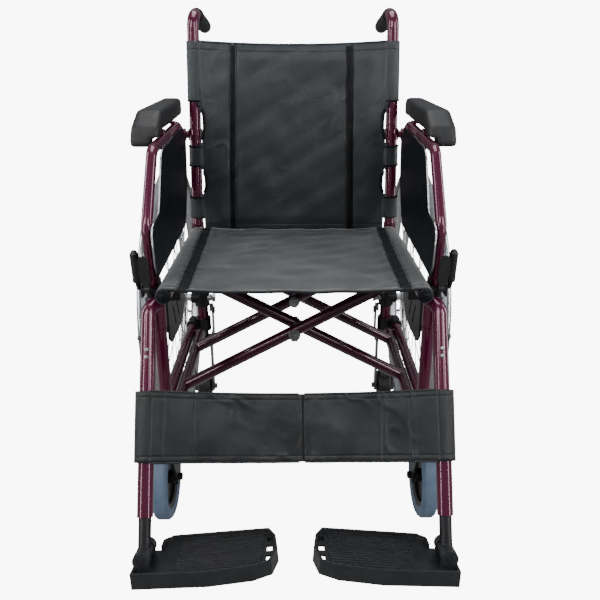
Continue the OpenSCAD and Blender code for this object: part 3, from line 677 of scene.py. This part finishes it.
def build_strap():
    hang = hung_cloth(0.47, STRAP_H, 0.006, (0, -6, -4), 15, 0.006)
    soft, folds, fine = field(31, 8, 0.05, 0.13), creases(37, 0.03, 0.07, 4), creases(51, 0.018, 0.04, 4)
    marks = (-0.2096, -0.163, 0.012, 0.140, 0.184)

    def place(u, w, behind=0.0):
        """u runs across the chair, w down the tube from the top edge."""
        centre_x = KNEE.x + LEAN.x * (STRAP_AT + w)
        turn = np.clip((np.abs(u) - centre_x) / STRAP_R, 0, None)
        x = np.where(turn > 0, np.sign(u) * (centre_x + STRAP_R * np.sin(turn)), u)
        out = STRAP_R * np.cos(turn)
        x = x + np.sign(u) * 0.004 * np.sin(np.clip(turn, 0, math.pi))
        inner = np.clip((0.22 - np.abs(u)) / 0.05, 0, 1)
        move = hang(x, STRAP_H - w)
        out = (out + np.clip(move[..., 2], -0.004, 0.005) * inner
               + (0.0018 * soft(u, w) + 0.0028 * folds(u, w * 0.7) + 0.0012 * fine(u, w)) * inner)
        for m in marks:
            out = out + 0.0011 * groove(u - m - 0.004, 0.003) - 0.0011 * groove(u - m, 0.0012)
        out = out - 0.0008 * groove(np.minimum(np.abs(w - 0.010), np.abs(w - STRAP_H + 0.010)))
        out = out - behind
        down = w + 0.006 * (1 - w / STRAP_H) * np.clip(1 - (u / 0.23) ** 2, 0, 1)
        along = STRAP_AT + down
        y = KNEE.y + LEAN.y * along + OUT.y * out
        return np.stack([x, y, KNEE.z + LEAN.z * along + OUT.z * out], -1)

    def part(name, low, high, behind=0.0):
        us = spaced(low, high, 0.005, [m for m in marks if low < m < high])
        ws = spaced(0, STRAP_H, 0.005, (0.010, STRAP_H - 0.010), 0.004)
        u, w = np.meshgrid(us, ws)
        verts = place(u, w, behind).reshape(-1, 3)
        return thickened(piece(name, verts, grid_faces(len(us), len(ws)), STRAP_CLOTH), 0.0017)

    def front(u, w, off=0.0011):
        p = place(np.array([u]), np.array([w]))[0]
        return Vector(p) + OUT * off
    wrap = math.radians(215) * STRAP_R
    loop = 0.232
    ranges = {"left": (-loop, 0.0121), "right": (0.0125, loop)}
    for side, s in SIDES:
        low, high = ranges[side]
        band = part("calf_band_" + side, low, high)
        ends = sorted((s * loop, s * (0.2405 + wrap)))
        sleeve = part("calf_loop_" + side, *ends)
        across = np.arange(low + 0.003, high - 0.002, 0.005)
        lines = [stitches("strap_stitch", [front(a, w) for a in across]) for w in (0.010, STRAP_H - 0.010)]
        for m in marks:
            if low < m - 0.003 and m + 0.003 < high or m == 0.012 and s > 0:
                down = np.arange(0.003, STRAP_H - 0.002, 0.005)
                for d in (0.002, 0.007):
                    lines.append(stitches("strap_stitch", [front(m + d, w) for w in down]))
        for w in (0.0, STRAP_H):
            lines.append(swept("strap_hem", [front(a, w, 0) for a in across], 0.0017, STRAP_CLOTH, 8))
        if s > 0:
            lines.append(part("strap_tongue", -0.035, 0.0165, 0.0034))
        trim = joined("calf_trim_" + side, lines)
        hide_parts("calf_strap_" + side)
        for o in (band, trim, sleeve):
            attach(o, "footrest_" + side)
        for o in (band, trim):
            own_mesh(o)


build_strap()


# ---------- armpads and small fittings ----------

def build_pads():
    for side, s in SIDES:
        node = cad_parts["arm_pad_" + side]
        pad = bpy.data.objects.new("armpad_" + side, node.data.copy())
        scene.collection.objects.link(pad)
        remesh = pad.modifiers.new("Remesh", "REMESH")
        remesh.mode, remesh.voxel_size = "VOXEL", 0.0032
        smooth = pad.modifiers.new("Smooth", "SMOOTH")
        smooth.factor, smooth.iterations = 0.5, 14
        applied(pad)
        pad.data.materials.clear()
        pad.data.materials.append(FOAM)
        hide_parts("arm_pad_" + side)
        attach(pad, "armrest_" + side)


# Top and front edge of the side guard, as depth behind the seat front and height, both in mm
GUARD_EDGE = [(44, 492), (34, 512), (30, 522), (28, 545), (27, 570), (34, 581), (52, 586), (80, 588),
              (96, 592), (104, 604), (120, 630), (142, 664), (150, 674), (160, 682), (172, 686),
              (184, 688), (240, 690)]


def build_fittings():
    for side, s in SIDES:
        path = [(s * 0.2308, FRONT + y / 1000, z / 1000) for y, z in GUARD_EDGE]
        trim = swept("guard_edging_" + side, path, 0.0021, CHROME, 10, 0.8, (1, 0, 0))
        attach(trim, "armrest_" + side)
        heads = []
        for along in (0.070, 0.082):
            centre = KNEE + LEAN * along + OUT * 0.0128
            centre.x *= s
            heads.append(screw("hanger_screw", centre, OUT, 0.0034))
        centre = KNEE + LEAN * 0.052
        at = Vector((s * (centre.x + 0.0118), centre.y, centre.z))
        knob = screw("hanger_button_" + side, at, Vector((s, 0, 0)), 0.0052)
        knob.data.materials[0] = PLASTIC
        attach(knob, "footrest_" + side)
        heads = joined("hanger_screws_" + side, heads)
        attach(heads, "footrest_" + side)


def screw(name, centre, direction, radius):
    """Pan head screw with a round recess in its top."""
    shape = bmesh.new()
    rings = [(1.0, 0.0), (1.0, 0.25), (0.86, 0.5), (0.55, 0.62), (0.3, 0.64), (0.24, 0.35)]
    q = Vector((0, 0, 1)).rotation_difference(direction)
    last = None
    for share, high in rings:
        wide = radius * share
        spots = [Vector((math.cos(a) * wide, math.sin(a) * wide, high * radius))
                 for a in np.arange(16) * math.pi / 8]
        ring = [shape.verts.new(centre + q @ spot) for spot in spots]
        if last:
            for i in range(16):
                shape.faces.new((last[i], last[(i + 1) % 16], ring[(i + 1) % 16], ring[i]))
        last = ring
    shape.faces.new(last)
    mesh = bpy.data.meshes.new(name)
    shape.to_mesh(mesh)
    shape.free()
    mesh.materials.append(ZINC)
    made = bpy.data.objects.new(name, mesh)
    scene.collection.objects.link(made)
    return made


build_pads()
build_fittings()


# ---------- room, lights and camera ----------

WHITE = 9.0


def light(name, at, aim, size, power, colour=(1, 1, 1), tall=None):
    lamp = bpy.data.lights.new(name, "AREA")
    lamp.shape, lamp.size, lamp.size_y = "RECTANGLE", size, tall or size
    lamp.energy, lamp.color = power, colour
    made = bpy.data.objects.new(name, lamp)
    made.location = at
    made.rotation_euler = (Vector(aim) - Vector(at)).to_track_quat("-Z", "Y").to_euler()
    scene.collection.objects.link(made)


def build_room():
    world = bpy.data.worlds.new("white_room")
    scene.world = world
    world.use_nodes = True
    tree = world.node_tree
    back = tree.nodes["Background"]
    seen = tree.nodes.new("ShaderNodeBackground")
    seen.inputs["Color"].default_value = (1, 1, 1, 1)
    seen.inputs["Strength"].default_value = WHITE
    back.inputs["Color"].default_value = (0.86, 0.93, 1, 1)
    back.inputs["Strength"].default_value = 0.26
    mix, path = tree.nodes.new("ShaderNodeMixShader"), tree.nodes.new("ShaderNodeLightPath")
    tree.links.new(path.outputs["Is Camera Ray"], mix.inputs[0])
    tree.links.new(back.outputs[0], mix.inputs[1])
    tree.links.new(seen.outputs[0], mix.inputs[2])
    tree.links.new(mix.outputs[0], tree.nodes["World Output"].inputs["Surface"])
    corners = [(x, y, -0.001) for x, y in ((-6, -6), (6, -6), (6, 6), (-6, 6))]
    floor = piece("floor", corners, [(0, 1, 2, 3)], THREAD, False)
    n = Nodes("white_floor")
    glow = n.add("ShaderNodeEmission", in_Strength=WHITE)
    dim = n.add("ShaderNodeEmission", in_Strength=0.3)
    choose = n.add("ShaderNodeMixShader")
    n.link(n.add("ShaderNodeLightPath").outputs["Is Camera Ray"], choose.inputs[0])
    n.link(dim.outputs[0], choose.inputs[1])
    n.link(glow.outputs[0], choose.inputs[2])
    n.link(choose.outputs[0], n.tree.nodes["Material Output"].inputs["Surface"])
    floor.data.materials[0] = n.material
    light("key", (-1.3, -1.9, 2.6), (0, 0, 0.5), 1.4, 34, (1, 0.99, 0.97))
    light("fill", (1.5, -1.8, 2.2), (0, 0, 0.5), 1.4, 24, (0.96, 0.98, 1))
    light("top", (0, 0.6, 3.0), (0, 0, 0.5), 1.8, 40)
    for s in (-1, 1):
        light("strip", (s * 1.5, -1.25, 0.9), (0, -0.1, 0.5), 0.13, 11, tall=1.6)
        light("side", (s * 1.9, 0.2, 1.1), (0, 0, 0.5), 0.4, 14, tall=2.0)


def build_camera():
    camera = bpy.data.cameras.new("camera")
    camera.sensor_width, camera.lens = 36, 39.22
    made = bpy.data.objects.new("camera", camera)
    made.location = (-0.0019, FRONT - 0.9945, 0.8745)
    made.rotation_euler = (math.radians(90 - 22.19), 0, math.radians(-0.627))
    scene.collection.objects.link(made)
    scene.camera = made


build_room()
build_camera()
